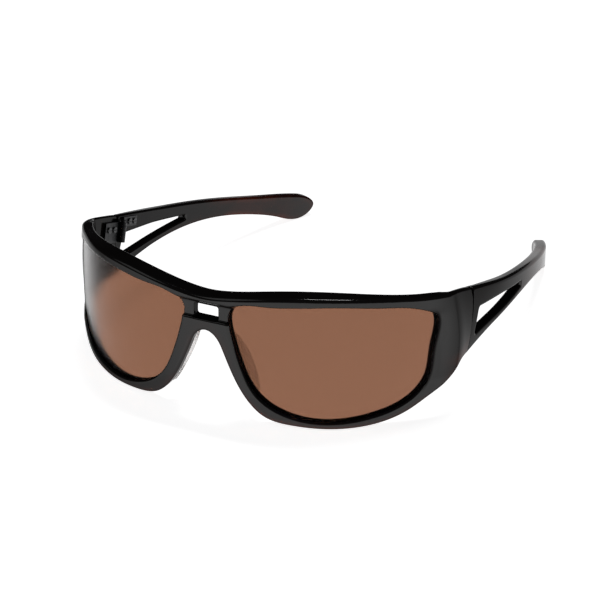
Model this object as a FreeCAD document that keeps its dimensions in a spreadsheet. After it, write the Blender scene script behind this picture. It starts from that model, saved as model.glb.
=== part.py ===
# Wraparound mountain and glacier sunglasses: full-rim front, two laminated lenses,
# two folding temples on five-knuckle hinges.
#
# Axes: X to the wearer's left, Y to the back, Z up. The glasses stand on Z = 0 on the
# bottoms of their rims and the ends of their temples. The origin is under the middle.
# Millimetres and degrees throughout.
import FreeCAD, Part
import math

Vector = FreeCAD.Vector
Rotation = FreeCAD.Rotation
Placement = FreeCAD.Placement

X_AXIS = Vector(1, 0, 0)
Y_AXIS = Vector(0, 1, 0)
Z_AXIS = Vector(0, 0, 1)

# alias, value, meaning
SIZES = (
    ("hinge_line", -29.45, "Y of the line that lens and temple outlines are measured from"),
    ("lens_width", 63.4, "visible width of one lens, across its own axis"),
    ("lens_height", 39.8, "visible height of one lens"),
    ("lens_nasal_edge", -14.2, "lens opening's nasal edge, across the lens axis"),
    ("lens_bottom", 2.6, "height of the lens opening's lowest point"),
    ("lens_wrap", 25.0, "angle between a lens's axis and straight ahead"),
    ("lens_radius", 66.47, "8-base front curve of the lens, around the head"),
    ("lens_radius_upright", 344.25, "front curve of the lens, from brow to cheek"),
    ("lens_lean", 4.13, "forward lean of the lens axis"),
    ("lens_centre_across", 9.14, "X of the lens's centre of curvature"),
    ("lens_centre_back", 15.23, "centre of curvature, behind the hinge line"),
    ("lens_centre_height", 8.41, "height of the lens's centre of curvature"),
    ("lens_thickness", 2.05, "whole laminated lens"),
    ("outer_layer", 0.8, "thickness of the lens's hard outer layer"),
    ("film", 0.15, "thickness of the polarising film"),
    ("groove_depth", 0.8, "how far the lens edge sits inside the rim"),
    ("rim_front", 1.8, "rim stands proud of the lens by this"),
    ("rim_back", 3.2, "rim's back face, behind the lens's front face"),
    ("brow_front", 2.8, "brow bar stands proud of the lens by this"),
    ("web_half_width", 9.4, "recessed web of the bridge, from the middle to its side"),
    ("web_front", 0.3, "recessed web of the bridge, proud of the lens"),
    ("window_width", 8.6, "window in the bridge"),
    ("window_height", 4.4, "window in the bridge"),
    ("window_bottom", 33.3, "height of the bridge window's lower edge"),
    ("brow_underside", 38.3, "height of the brow bar's lower edge at the bridge"),
    ("nose_bar_top", 33.2, "height of the nose bar's upper edge"),
    ("inner_wall", 64.6, "X of the flat inner wall that carries the hinge"),
    ("temple_thickness", 3.7, "temple, at the hinge"),
    ("tip_thickness", 4.3, "temple, at its tip"),
    ("temple_reach", 113.5, "hinge line to the end of the temple"),
    ("bend_start", 20.0, "the temple is straight up to here, behind the hinge line"),
    ("tip_inset", 18.6, "how far the temple's long bend takes its tip in"),
    ("tip_curl", 2.2, "how much further in the tip curls"),
    ("hinge_across", 63.1, "X of the hinge pin"),
    ("hinge_back", 0.55, "hinge pin behind the hinge line, at mid-height"),
    ("hinge_height", 30.5, "height of the hinge's middle"),
    ("hinge_lean", 16.0, "the pin leans back by this angle"),
    ("seam_offset", 0.8, "seam between front and temple, ahead of the pin"),
    ("seam_gap", 0.3, "gap at the seam"),
    ("knuckle_radius", 1.4, "outer radius of a hinge knuckle"),
    ("knuckle_pitch", 1.4, "height of one knuckle and its gap"),
    ("knuckle_gap", 0.1, "end play between two knuckles"),
    ("pin_radius", 0.6, "hinge screw's shank"),
    ("pin_clearance", 0.04, "radial clearance of the temple's knuckles"),
    ("pin_head_radius", 1.1, "hinge screw's head"),
    ("pin_head_height", 0.6, "hinge screw's head"),
    ("leaf_thickness", 1.0, "hinge leaf"),
    ("leaf_screw_radius", 0.55, "screw that holds a hinge leaf"),
    ("leaf_screw_head", 1.05, "radius of that screw's head"),
    ("leaf_screw_head_height", 0.5, "height of that screw's head"),
    ("leaf_screw_reach", 4.2, "tip of that screw, outward of the hinge pin"),
    ("slot_width", 0.35, "screwdriver slot"),
    ("slot_depth", 0.3, "screwdriver slot"),
    ("nose_pad_length", 25.0, "nose pad, along the rim"),
    ("nose_pad_depth", 4.8, "nose pad, backwards from the rim"),
    ("nose_pad_thickness", 2.0, "nose pad"),
    ("nose_pad_splay", 6.0, "angle by which the pads spread towards the face"),
    ("nose_pad_slant", 25.0, "lean of the pad's long side from upright"),
    ("nose_pad_across", 10.7, "X of the pad's middle"),
    ("nose_pad_height", 18.0, "height of the pad's middle"),
)

# The lens opening, as parts of its width from the nasal edge and of its height from
# the lowest point. A closed curve runs through these.
LENS_OUTLINE = (
    (0.005, 0.850), (0.033, 0.917), (0.200, 0.973), (0.460, 1.000), (0.726, 0.962),
    (0.950, 0.876), (0.996, 0.820), (0.986, 0.575), (0.957, 0.300), (0.908, 0.195),
    (0.713, 0.052), (0.460, 0.000), (0.260, 0.060), (0.134, 0.190), (0.058, 0.410),
    (0.010, 0.660),
)

# The front's lower edge, from the middle of the nose arch to past the seam: distance
# across the lens axis, height.
LOWER_EDGE = (
    (-26.0, 29.5), (-22.5, 29.1), (-19.3, 28.1), (-16.6, 23.3), (-13.1, 14.8),
    (-8.9, 7.6), (-3.7, 2.8), (5.0, 0.7), (17.0, 0.0), (30.0, 1.1), (41.0, 4.4),
    (49.0, 9.0), (55.0, 13.0), (61.0, 15.6), (68.0, 17.0),
)

# The brow's top edge, measured the same way, from past the seam to the middle.
UPPER_EDGE = (
    (68.0, 33.2), (61.0, 36.3), (53.0, 40.0), (46.0, 42.1), (31.0, 44.2), (15.0, 45.6),
    (0.0, 45.0), (-12.5, 43.0), (-20.6, 41.7), (-26.0, 41.3),
)

# The brow bar's lower limit; the lens opening trims it.
BROW_UNDERSIDE = ((-15.0, 0.0), (-11.0, -1.5), (44.0, -4.5), (52.0, -6.5), (68.0, -9.0))

# The temple from the side: distance behind the hinge line, height.
TEMPLE_TOP = (
    (-6.0, 37.9), (2.0, 36.0), (14.0, 32.9), (30.0, 28.8), (50.0, 24.1), (70.0, 19.1),
    (90.0, 13.8), (106.0, 9.8),
)
TEMPLE_TIP = ((111.8, 7.2), (113.5, 4.6), (111.6, 1.6), (106.0, 0.0))
TEMPLE_BOTTOM = (
    (97.0, 3.1), (82.0, 8.8), (66.0, 13.2), (48.0, 16.1), (26.0, 17.0), (10.0, 16.4),
    (-6.0, 14.8),
)

# The opening in the temple: distance behind the hinge line, height and corner radius.
TEMPLE_WINDOW = ((4.4, 28.2, 1.6), (24.5, 24.9, 60.0), (52.5, 19.3, 0.8), (0.2, 20.0, 1.4))

doc = FreeCAD.newDocument("wraparound_glasses")
sheet = doc.addObject("Spreadsheet::Sheet", "sizes")
for row, (alias, value, meaning) in enumerate(SIZES, start=1):
    sheet.set(f"A{row}", meaning)
    sheet.set(f"B{row}", str(value))
    sheet.setAlias(f"B{row}", alias)
doc.recompute()


def size(alias):
    """A driving dimension, read from the sheet."""
    return float(sheet.get(alias))


def plane_of(body, role):
    """One of a body's own origin planes."""
    for feature in body.Origin.OriginFeatures:
        if feature.Role == role:
            return feature
    raise ValueError(role)


def add_sketch(body, name, role, curves):
    """A sketch on one of the body's origin planes."""
    sketch = body.newObject("Sketcher::SketchObject", name)
    sketch.AttachmentSupport = (plane_of(body, role), "")
    sketch.MapMode = "FlatFace"
    for curve in curves:
        sketch.addGeometry(curve, False)
    return sketch


def padded_body(name, role, curves, length):
    """A body with one sketch, padded by a formula of the sheet's cells."""
    body = doc.addObject("PartDesign::Body", name)
    sketch = add_sketch(body, name + "_sketch", role, curves)
    pad = body.newObject("PartDesign::Pad", name + "_pad")
    pad.Profile = sketch
    pad.setExpression("Length", length)
    return body


def fuse(name, objects):
    fusion = doc.addObject("Part::MultiFuse", name)
    fusion.Shapes = objects
    fusion.Refine = True
    return fusion


def common(name, objects):
    overlap = doc.addObject("Part::MultiCommon", name)
    overlap.Shapes = objects
    return overlap


def cut(name, base, tool):
    difference = doc.addObject("Part::Cut", name)
    difference.Base = base
    difference.Tool = tool
    return difference


def mirror(name, source):
    """The same piece on the other side of the wearer's nose."""
    copy = doc.addObject("Part::Mirroring", name)
    copy.Source = source
    copy.Normal = X_AXIS
    copy.Base = Vector(0, 0, 0)
    return copy


def sized_box(name, low, high):
    """A box as large as the space between two corners, which are formulas of cells."""
    block = doc.addObject("Part::Box", name)
    for side, start, end in zip(("Length", "Width", "Height"), low, high):
        block.setExpression(side, f"({end}) - ({start})")
    return block


def box(name, low, high):
    """A box between two corners, each coordinate a formula of the sheet's cells."""
    block = sized_box(name, low, high)
    for axis, start in zip("xyz", low):
        block.setExpression("Placement.Base." + axis, str(start))
    return block


def cylinder(name, radius, start, end):
    """An upright cylinder on the Z axis, from one height to another."""
    rod = doc.addObject("Part::Cylinder", name)
    rod.setExpression("Radius", radius)
    rod.setExpression("Height", f"({end}) - ({start})")
    rod.setExpression("Placement.Base.z", start)
    return rod


def flat(points):
    return [Vector(across, up, 0) for across, up in points]


def open_curve(points):
    curve = Part.BSplineCurve()
    curve.interpolate(flat(points))
    return curve


def closed_curve(vectors):
    curve = Part.BSplineCurve()
    curve.interpolate(vectors, True)
    return curve


def line(start, end):
    return Part.LineSegment(flat([start])[0], flat([end])[0])


def chain(points):
    """Straight edges through the points, back to the first."""
    following = points[1:] + points[:1]
    return [line(start, end) for start, end in zip(points, following)]


def rounded(corners):
    """A closed outline of straight edges, each corner an arc of its own radius."""
    starts, ends, arcs = [], [], []
    count = len(corners)
    for index, (across, up, radius) in enumerate(corners):
        corner = Vector(across, up, 0)
        before = flat([corners[index - 1][:2]])[0] - corner
        after = flat([corners[(index + 1) % count][:2]])[0] - corner
        before.normalize()
        after.normalize()
        half_angle = before.getAngle(after) / 2
        tangent = radius / math.tan(half_angle)
        bisector = before + after
        bisector.normalize()
        middle = corner + bisector * (radius / math.sin(half_angle) - radius)
        starts.append(corner + before * tangent)
        ends.append(corner + after * tangent)
        arcs.append(Part.Arc(starts[-1], middle, ends[-1]))
    edges = [Part.LineSegment(ends[index - 1], starts[index]) for index in range(count)]
    return arcs + edges


# Past the glasses on every side, for the tools that cut right through.
FAR = 90.0
# A half is drawn this far past the middle before it is trimmed there.
OVERLAP = 1.0

# ---------------------------------------------------------------- curved slabs

SLAB_BELOW = 22.0
SLAB_ABOVE = 48.0
SLAB_SWEEP = 190.0


def toric_slab(name, back, front):
    """The layer between two distances behind and ahead of the lens's front face."""
    body = doc.addObject("PartDesign::Body", name)
    around = size("lens_radius")
    upright = size("lens_radius_upright")
    edges = []
    for distance in (back, front):
        radius = upright + distance
        middle = around - upright
        heights = (-SLAB_BELOW, 0.0, SLAB_ABOVE)
        edges.append([Vector(middle + math.sqrt(radius**2 - up**2), up, 0) for up in heights])
    inner, outer = edges
    curves = [
        Part.Arc(*inner),
        Part.LineSegment(inner[2], outer[2]),
        Part.Arc(*outer),
        Part.LineSegment(outer[0], inner[0]),
    ]
    sketch = add_sketch(body, name + "_sketch", "XZ_Plane", curves)
    slab = body.newObject("PartDesign::Revolution", name + "_revolution")
    slab.Profile = sketch
    slab.ReferenceAxis = (sketch, ["V_Axis"])
    slab.Angle = SLAB_SWEEP
    slab.Midplane = True
    lean = Rotation(X_AXIS, size("lens_lean"))
    facing_front = Rotation(Z_AXIS, -90)
    body.Placement.Rotation = lean.multiply(facing_front)
    body.setExpression("Placement.Base.x", "sizes.lens_centre_across")
    body.setExpression("Placement.Base.y", "sizes.hinge_line + sizes.lens_centre_back")
    body.setExpression("Placement.Base.z", "sizes.lens_centre_height")
    return body


def lens_prism(name, curves):
    """An outline drawn across the lens's axis, extended forwards along that axis."""
    body = padded_body(name, "XZ_Plane", curves, "1.3 * sizes.lens_width")
    body.Placement.Rotation = Rotation(Z_AXIS, size("lens_wrap"))
    body.setExpression("Placement.Base.y", "sizes.hinge_line")
    return body


def lens_curve(grow):
    """The lens opening's outline, grown outwards by a distance."""
    width = size("lens_width")
    height = size("lens_height")
    left = size("lens_nasal_edge")
    bottom = size("lens_bottom")
    points = [(left + across * width, bottom + up * height) for across, up in LENS_OUTLINE]
    curve = closed_curve(flat(points))
    if grow == 0:
        return curve
    grown = []
    for point in flat(points):
        along = curve.tangent(curve.parameter(point))[0]
        outward = Vector(-along.y, along.x, 0)
        grown.append(point + outward * grow)
    return closed_curve(grown)


# ---------------------------------------------------------------- lenses

lens_seat_prism = lens_prism("lens_seat_prism", [lens_curve(size("groove_depth"))])

depths = (0.0, size("outer_layer"), size("outer_layer") + size("film"), size("lens_thickness"))
layer_names = ("lens_outer_layer", "polarising_film", "lens_inner_layer")
lens_layers = []
for layer, front_depth, back_depth in zip(layer_names, depths[:-1], depths[1:]):
    slab = toric_slab(layer + "_slab", -back_depth, -front_depth)
    lens_layers.append(common("left_" + layer, [slab, lens_seat_prism]))

# ---------------------------------------------------------------- front frame

rim_slab = toric_slab("rim_slab", -size("rim_back"), size("rim_front"))
brow_slab = toric_slab("brow_slab", -size("rim_back"), size("brow_front"))
seat_slab = toric_slab("seat_slab", -size("lens_thickness"), 0.0)
web_slab = toric_slab("web_slab", size("web_front"), size("web_front") + size("lens_thickness") * 4)

outline_curves = [
    open_curve(LOWER_EDGE),
    line(LOWER_EDGE[-1], UPPER_EDGE[0]),
    open_curve(UPPER_EDGE),
    line(UPPER_EDGE[-1], LOWER_EDGE[0]),
]
outline_prism = lens_prism("outline_prism", outline_curves)

underside = [(across, size("brow_underside") + up) for across, up in BROW_UNDERSIDE]
first_across = UPPER_EDGE[-1][0]
last_across = UPPER_EDGE[0][0]
band = [(first_across, size("brow_underside"))] + underside + [(last_across, FAR), (first_across, FAR)]
brow_prism = lens_prism("brow_prism", chain(band))

# End piece: the solid wall from the lens's outer edge back to the seam, seen from above.
END_PIECE_FACE = ((65.5, -21.5), (67.5, -18.5), (68.8, -15.5), (69.1, -12.0), (68.8, -3.0))
END_PIECE_CORNER = (61.4, -21.2)
WALL_START = -12.0
WALL_END = 6.0
outer_wall = size("inner_wall") + size("temple_thickness")
end_piece_plan = [
    open_curve(END_PIECE_FACE + ((outer_wall, WALL_END),)),
    line((outer_wall, WALL_END), (size("inner_wall"), WALL_END)),
    line((size("inner_wall"), WALL_END), (size("inner_wall"), WALL_START)),
    line((size("inner_wall"), WALL_START), END_PIECE_CORNER),
    line(END_PIECE_CORNER, END_PIECE_FACE[0]),
]
end_piece_column = padded_body("end_piece_column", "XY_Plane", end_piece_plan, "1.3 * sizes.lens_height")
end_piece_column.setExpression("Placement.Base.y", "sizes.hinge_line")

# The curved slabs stop inside the end piece.
slab_limit = box(
    "slab_limit",
    (-OVERLAP, -FAR, -FAR),
    ("sizes.inner_wall + 0.4 * sizes.temple_thickness", "sizes.hinge_line", FAR),
)
rim_blank = common("rim_blank", [rim_slab, outline_prism, slab_limit])
brow_blank = common("brow_blank", [brow_slab, brow_prism, outline_prism, slab_limit])
end_piece_blank = common("end_piece_blank", [end_piece_column, outline_prism])
half_blank = fuse("half_blank", [rim_blank, brow_blank, end_piece_blank])

opening_prism = lens_prism("opening_prism", [lens_curve(0)])
lens_seat = common("lens_seat", [seat_slab, lens_seat_prism])
web_box = box(
    "web_box",
    (-OVERLAP, -FAR, "sizes.nose_bar_top"),
    ("sizes.web_half_width", "sizes.hinge_line", "sizes.brow_underside"),
)
web_recess = common("web_recess", [web_slab, web_box])
bridge_window = box(
    "bridge_window",
    (-OVERLAP, -FAR, "sizes.window_bottom"),
    ("sizes.window_width / 2", "sizes.hinge_line", "sizes.window_bottom + sizes.window_height"),
)
other_side = box("other_side", (-FAR, -FAR, -FAR), (0, "sizes.hinge_line", FAR))

# ---------------------------------------------------------------- hinge frame


def place_in_hinge(thing):
    """Moves a piece drawn around the pin into its place on the left side."""
    lean = Rotation(X_AXIS, -size("hinge_lean"))
    middle = Vector(size("hinge_across"), size("hinge_line") + size("hinge_back"), size("hinge_height"))
    thing.Placement = Placement(middle, lean).multiply(thing.Placement)
    return thing


def hinge_block(name, corner, far_corner):
    """A box in the hinge's own frame."""
    block = sized_box(name, corner, far_corner)
    block.Placement.Base = Vector(*corner)
    return place_in_hinge(block)


# The cuts at the seam reach this far inwards of the pin, well short of the lens.
SEAM_INWARD = -20.0
front_seam = -size("seam_offset") - size("seam_gap") / 2
temple_seam = -size("seam_offset") + size("seam_gap") / 2
behind_seam = hinge_block("behind_seam", (SEAM_INWARD, front_seam, -FAR), (FAR, FAR, FAR))
ahead_of_seam = hinge_block("ahead_of_seam", (SEAM_INWARD, -FAR, -FAR), (FAR, temple_seam, FAR))

# Screws that hold the leaves: distance behind the pin, height above the hinge's middle.
FRONT_SCREWS = ((-4.3, 1.0), (-7.7, 1.0))
TEMPLE_SCREWS = ((5.3, 3.3), (8.5, 3.3))


def screw_rod(name, radius, spot, start, end):
    """A rod that points outwards, along X, in the hinge's own frame."""
    rod = doc.addObject("Part::Cylinder", name)
    rod.setExpression("Radius", radius)
    rod.Height = end - start
    rod.Placement = Placement(Vector(start, *spot), Rotation(Y_AXIS, 90))
    return place_in_hinge(rod)


wall = size("inner_wall") - size("hinge_across")
leaf_face = wall - size("leaf_thickness")
head_face = leaf_face - size("leaf_screw_head_height")


def leaf_screws(name, spots):
    """The two screws of one leaf, as one group of separate solids."""
    solids = []
    for number, spot in enumerate(spots):
        shank = screw_rod(f"{name}_shank_{number}", "sizes.leaf_screw_radius", spot, head_face,
                          size("leaf_screw_reach"))
        head = screw_rod(f"{name}_head_{number}", "sizes.leaf_screw_head", spot, head_face, leaf_face)
        blank = fuse(f"{name}_blank_{number}", [shank, head])
        back, height = spot
        reach = size("leaf_screw_head")
        half_slot = size("slot_width") / 2
        slot = doc.addObject("Part::Box", f"{name}_slot_{number}")
        slot.Length = 2 * size("slot_depth")
        slot.Width = 2 * reach
        slot.Height = 2 * half_slot
        slot.Placement.Base = Vector(head_face - size("slot_depth"), back - reach, height - half_slot)
        solids.append(cut(f"{name}_{number}", blank, place_in_hinge(slot)))
    group = doc.addObject("Part::Compound", name)
    group.Links = solids
    return group


def screw_holes(name, spots):
    rods = []
    for number, spot in enumerate(spots):
        rods.append(screw_rod(f"{name}_{number}", "sizes.leaf_screw_radius", spot, leaf_face,
                              size("leaf_screw_reach")))
    return fuse(name, rods)


front_holes = screw_holes("front_holes", FRONT_SCREWS)
temple_holes = screw_holes("temple_holes", TEMPLE_SCREWS)

front_tools = fuse("front_tools", [opening_prism, lens_seat, web_recess, bridge_window, other_side,
                                   behind_seam, front_holes])
left_half = cut("left_half", half_blank, front_tools)
right_half = mirror("right_half", left_half)
front_frame = fuse("front_frame", [left_half, right_half])

# ---------------------------------------------------------------- hinge leaves

KNUCKLES = 5


def knuckle(name, level, bore):
    """One knuckle and the arm that joins it to its leaf, the bore left for later."""
    low = f"({level} - {KNUCKLES} / 2) * sizes.knuckle_pitch + sizes.knuckle_gap / 2"
    high = f"({level + 1} - {KNUCKLES} / 2) * sizes.knuckle_pitch - sizes.knuckle_gap / 2"
    return cylinder(name, bore, low, high), low, high


def leaf(name, levels, arm_reach, plates, holes, bore):
    """A hinge leaf: its knuckles, their arms and its plate, bored for the pin."""
    pieces = []
    arm_face = f"{wall} - sizes.seam_gap"
    for level in levels:
        barrel, low, high = knuckle(f"{name}_knuckle_{level}", level, "sizes.knuckle_radius")
        arm_start, arm_end = arm_reach
        arm = box(f"{name}_arm_{level}", (0, arm_start, low), (arm_face, arm_end, high))
        pieces += [barrel, arm]
    for number, (start, end, bottom, top) in enumerate(plates):
        pieces.append(box(f"{name}_plate_{number}", (str(leaf_face), start, bottom), (str(wall), end, top)))
    blank = fuse(name + "_blank", pieces)
    span = f"{KNUCKLES} * sizes.knuckle_pitch"
    pin_bore = cylinder(name + "_bore", bore, "-" + span, span)
    bored = cut(name + "_bored", blank, pin_bore)
    return cut(name, place_in_hinge(bored), holes)


# Where each leaf's flat plates start and end, behind the pin and above the hinge's middle.
# The front leaf lies ahead of the pin. The temple leaf rises over the temple's window.
half_stack = f"{KNUCKLES} / 2 * sizes.knuckle_pitch"
plate_edge = "1.12 * sizes.knuckle_radius"
arm_edge = "1.15 * sizes.knuckle_radius"
front_plates = ((-9.9, "-" + plate_edge, "-" + half_stack, half_stack),)
temple_plates = (
    (plate_edge, 3.0, "-1.5 * sizes.knuckle_pitch", 5.0),
    (2.9, 10.2, 1.6, 5.0),
)
front_leaf = leaf("left_front_hinge_leaf", (0, 2, 4), ("-" + arm_edge, 0), front_plates,
                  front_holes, "sizes.pin_radius")
temple_leaf = leaf("left_temple_hinge_leaf", (1, 3), (0, arm_edge), temple_plates,
                   temple_holes, "sizes.pin_radius + sizes.pin_clearance")

pin_shank = cylinder("pin_shank", "sizes.pin_radius", "-" + half_stack, half_stack)
pin_head = cylinder("pin_head", "sizes.pin_head_radius", half_stack, half_stack + " + sizes.pin_head_height")
pin_blank = fuse("pin_blank", [pin_shank, pin_head])
pin_slot = box(
    "pin_slot",
    ("-2 * sizes.pin_radius", "-sizes.slot_width / 2",
     half_stack + " + sizes.pin_head_height - sizes.slot_depth"),
    ("2 * sizes.pin_radius", "sizes.slot_width / 2", half_stack + " + 2 * sizes.pin_head_height"),
)
hinge_screw = place_in_hinge(cut("left_hinge_screw", pin_blank, pin_slot))

front_leaf_screws = leaf_screws("left_front_leaf_screws", FRONT_SCREWS)
temple_leaf_screws = leaf_screws("left_temple_leaf_screws", TEMPLE_SCREWS)

# ---------------------------------------------------------------- temples

# The temple bends in slowly at first, as this power of the distance past the bend's start.
BEND_POWER = 1.9
PLAN_STATIONS = (0.2, 0.4, 0.6, 0.8, 0.9, 1.0)
# The tip's curl starts at this part of the way along the bend.
CURL_START = 0.8
# The plan runs past both ends of the side view, which trims it.
PLAN_START = -6.0
PLAN_EXTRA = 2.0


def temple_plan():
    """The temple from above: two curves that bend inwards towards the tip."""
    bend_start = size("bend_start")
    reach = size("temple_reach") + PLAN_EXTRA
    straight = (bend_start / 2, bend_start)
    inner = [(size("inner_wall"), back) for back in straight]
    outer = [(outer_wall, back) for back in straight]
    for station in PLAN_STATIONS:
        back = bend_start + station * (reach - bend_start)
        curled = max(0.0, (station - CURL_START) / (1 - CURL_START))
        inset = size("tip_inset") * station**BEND_POWER + size("tip_curl") * curled**2
        thickness = size("temple_thickness") + station * (size("tip_thickness") - size("temple_thickness"))
        outer.append((outer_wall - inset, back))
        inner.append((outer_wall - inset - thickness, back))
    inner_start = (size("inner_wall"), PLAN_START)
    outer_start = (outer_wall, PLAN_START)
    return [
        open_curve(outer),
        line(outer[-1], inner[-1]),
        open_curve(inner),
        line(inner[0], inner_start),
        line(inner_start, outer_start),
        line(outer_start, outer[0]),
    ]


temple_column = padded_body("temple_column", "XY_Plane", temple_plan(), "1.3 * sizes.lens_height")
temple_column.setExpression("Placement.Base.y", "sizes.hinge_line")

side_curve = TEMPLE_TOP + TEMPLE_TIP + TEMPLE_BOTTOM
temple_side = padded_body(
    "temple_side", "YZ_Plane", [open_curve(side_curve), line(side_curve[-1], side_curve[0])],
    "sizes.inner_wall")
temple_window = padded_body("temple_window", "YZ_Plane", rounded(TEMPLE_WINDOW), "sizes.inner_wall")
for profile in (temple_side, temple_window):
    profile.setExpression("Placement.Base.x", "sizes.inner_wall / 2")
    profile.setExpression("Placement.Base.y", "sizes.hinge_line")

temple_blank = common("temple_blank", [temple_column, temple_side])
temple_tools = fuse("temple_tools", [temple_window, ahead_of_seam, temple_holes])
temple = cut("left_temple", temple_blank, temple_tools)

# ---------------------------------------------------------------- nose pads


# The pad's plate starts inside the rim, whose rear face trims it.
PAD_ROOT = -6.0


def nose_pad():
    """A D-shaped soft pad on the back of the nasal rim, spread towards the face."""
    half = size("nose_pad_length") / 2
    depth = size("nose_pad_depth")
    shoulder = depth / 6
    curves = [
        line((-half, PAD_ROOT), (-half, shoulder)),
        Part.Arc(*flat([(-half, shoulder), (0, depth), (half, shoulder)])),
        line((half, shoulder), (half, PAD_ROOT)),
        line((half, PAD_ROOT), (-half, PAD_ROOT)),
    ]
    body = padded_body("nose_pad_plate", "XY_Plane", curves, "sizes.nose_pad_thickness")
    slant = math.radians(size("nose_pad_slant"))
    splay = math.radians(size("nose_pad_splay"))
    along = Vector(math.sin(slant), 0, -math.cos(slant))
    back = Vector(math.sin(splay), math.cos(splay), 0)
    normal = along.cross(back)
    normal.normalize()
    back = normal.cross(along)
    turn = Rotation(along, back, normal, "XYZ")
    rear_face = size("lens_centre_back") - size("lens_radius") + size("rim_back")
    middle = Vector(size("nose_pad_across"), size("hinge_line") + rear_face, size("nose_pad_height"))
    body.Placement = Placement(middle - normal * (size("nose_pad_thickness") / 2), turn)
    return body


pad_trim = toric_slab("pad_trim", -size("rim_back"), 2 * size("lens_thickness"))
pad = cut("left_nose_pad", nose_pad(), pad_trim)

# ---------------------------------------------------------------- the other side and export

sub_parts = [front_frame]
left_parts = lens_layers + [pad, temple, front_leaf, temple_leaf, hinge_screw, front_leaf_screws,
                            temple_leaf_screws]
for part in left_parts:
    sub_parts += [part, mirror(part.Name.replace("left_", "right_"), part)]

doc.recompute()

for item in doc.Objects:
    if "Invalid" in item.State or "Error" in item.State:
        raise RuntimeError(f"{item.Name} did not recompute: {item.State}")
for part in sub_parts:
    part.Label = part.Name
    if part.Shape.isNull() or not part.Shape.isValid():
        raise RuntimeError(f"{part.Name} has no valid shape")

for part in sub_parts:
    part.Shape.exportStep(f"parts/{part.Label}.step")
    bounds = part.Shape.optimalBoundingBox(False)
    print(f"{part.Label}: {len(part.Shape.Solids)} solid(s), {part.Shape.Volume:.1f} mm3, "
          f"X {bounds.XMin:.1f}..{bounds.XMax:.1f} Y {bounds.YMin:.1f}..{bounds.YMax:.1f} "
          f"Z {bounds.ZMin:.1f}..{bounds.ZMax:.1f}")
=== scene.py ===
import math

import bmesh
import bpy
import numpy as np
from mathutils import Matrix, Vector


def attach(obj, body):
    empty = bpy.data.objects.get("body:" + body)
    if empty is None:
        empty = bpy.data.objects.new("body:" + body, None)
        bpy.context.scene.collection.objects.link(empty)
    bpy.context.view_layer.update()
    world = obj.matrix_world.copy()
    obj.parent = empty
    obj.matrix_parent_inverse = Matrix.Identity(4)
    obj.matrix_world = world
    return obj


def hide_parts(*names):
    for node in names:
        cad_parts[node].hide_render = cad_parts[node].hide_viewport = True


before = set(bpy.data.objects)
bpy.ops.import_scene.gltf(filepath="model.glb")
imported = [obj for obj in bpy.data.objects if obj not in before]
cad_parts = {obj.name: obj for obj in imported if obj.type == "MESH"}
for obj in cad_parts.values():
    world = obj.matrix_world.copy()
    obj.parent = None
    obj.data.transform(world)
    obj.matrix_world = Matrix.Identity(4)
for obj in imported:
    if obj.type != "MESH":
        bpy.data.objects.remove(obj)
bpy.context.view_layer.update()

MM = 0.001
SIDES = {"left": 1, "right": -1}

# ---------------------------------------------------------------- sizes

# The lens and the places of the joints are the part's own.

HINGE_LINE = -29.45
LENS_RADIUS = 66.47
LENS_RADIUS_UPRIGHT = 344.25
LENS_CENTRE = (9.14, 15.23, 8.41)
LEAN = math.radians(4.13)
WRAP = math.radians(25.0)
LENS_WIDTH = 63.4
LENS_HEIGHT = 39.8
LENS_NASAL = -14.2
LENS_BOTTOM = 2.6
LENS_LAYERS = {
    "lens_outer_layer": (-0.01, -0.79),
    "polarising_film": (-0.81, -0.94),
    "lens_inner_layer": (-0.96, -2.04),
}

# How far the front's surfaces stand out of the lens's face, or behind it. The rims are a
# little slimmer here than in the part, and level with the lens beside its outer edge.
RIM_FRONT = 1.3
RIM_FRONT_CORNER = 0.9
RIM_BACK = 3.2
RIM_BACK_LOW = 2.7
BROW_FRONT = 2.9
BROW_FRONT_CORNER = 0.6
MOAT_FRONT = 0.12
WEB_FRONT = 0.3
END_FRONT = 2.25

# The groove that holds the lens, and the opening in front of it and behind it.
GROOVE = 0.8
GROOVE_HALF = 1.05
LENS_BITE = 0.06
LIP_SLOPE = 0.15
LIP_RADIUS = 0.8
BACK_LIP_RADIUS = 0.15
BACK_LIP_FROM = 1.4
BACK_LIP_SLOPE = 0.5
BACK_LIP_FLARE = 0.6

INNER_WALL = 64.6
OUTER_WALL = 68.3
TEMPLE_THICKNESS = 3.7
TIP_THICKNESS = 4.3
BEND_START = 20.0
TEMPLE_REACH = 113.5
TIP_INSET = 18.6
TIP_CURL = 2.2
CURL_START = 0.8
BEND_POWER = 1.9
PIN = (63.1, 0.55, 30.5)
HINGE_LEAN = math.radians(16.0)
SEAM = -0.8
HALF_GAP = 0.02

# The lens's outline, as shares of its width and height.
LENS_OUTLINE = (
    (0.005, 0.850), (0.033, 0.917), (0.200, 0.973), (0.460, 1.000), (0.726, 0.962),
    (0.950, 0.876), (0.996, 0.820), (0.986, 0.575), (0.957, 0.300), (0.908, 0.195),
    (0.713, 0.052), (0.460, 0.000), (0.260, 0.060), (0.134, 0.190), (0.058, 0.410),
    (0.010, 0.660),
)

# The front's edges, across the lens's axis and up from the floor.
ARCH_TOP = 29.2
LOWER_EDGE = (
    (-19.3, 28.1), (-16.6, 23.3), (-13.1, 14.8), (-8.9, 7.6), (-3.7, 2.8), (5.0, 0.7),
    (17.0, 0.0), (30.0, 1.1), (41.0, 4.4), (49.0, 9.0), (55.0, 13.0),
)
BROW_TOP = 41.7
UPPER_EDGE = ((46.0, 42.1), (31.0, 44.2), (15.0, 45.6), (0.0, 45.0), (-12.5, 43.0), (-18.0, 42.1))

# The end piece's edges, as distance along the front's curve from the middle, and height.
END_BOTTOM = ((86.0, 15.0), (93.0, 15.3), (100.0, 16.0))
END_TOP = ((104.0, 34.7), (100.0, 36.2), (92.0, 38.7), (84.0, 40.7))

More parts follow.
